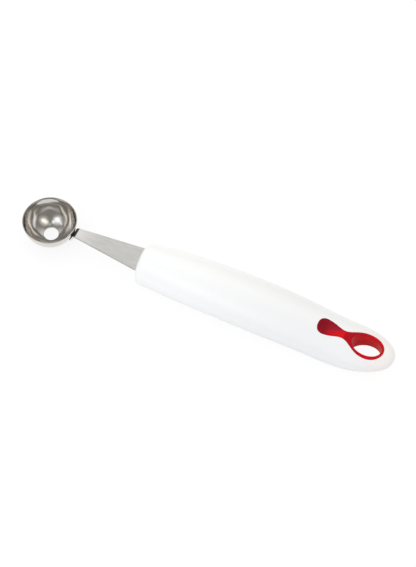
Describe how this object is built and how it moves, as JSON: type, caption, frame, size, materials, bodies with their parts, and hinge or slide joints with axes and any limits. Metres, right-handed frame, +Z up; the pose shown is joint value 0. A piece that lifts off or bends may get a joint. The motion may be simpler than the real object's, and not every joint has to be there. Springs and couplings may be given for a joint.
{
  "type": "melon baller",
  "caption": "Hand tool with a hollow steel half-ball cutter with a drain hole, a flat tapering neck and an oval plastic handle with a thumb hollow and a hanging ring.",
  "frame": {"origin": "middle of the underside's bounding box, on the surface that the tool lies on", "axes": "+X from the bowl to the handle's end, along the tool; +Z up, out of the open bowl; +Y to the left of a person who looks along +X"},
  "size_m": [0.2178, 0.031, 0.0217],
  "materials": {
    "polished_steel": "pressed stainless steel, polished, with faint drawing lines",
    "satin_steel": "stamped stainless strip, fine satin grain along its length",
    "white_plastic": "white moulded plastic, smooth gloss",
    "red_plastic": "red moulded plastic, smooth gloss"
  },
  "bodies": {
    "root": {"bowl": "polished_steel", "neck": "satin_steel", "handle": "white_plastic", "hanging_loop": "red_plastic"}
  },
  "joints": []
}
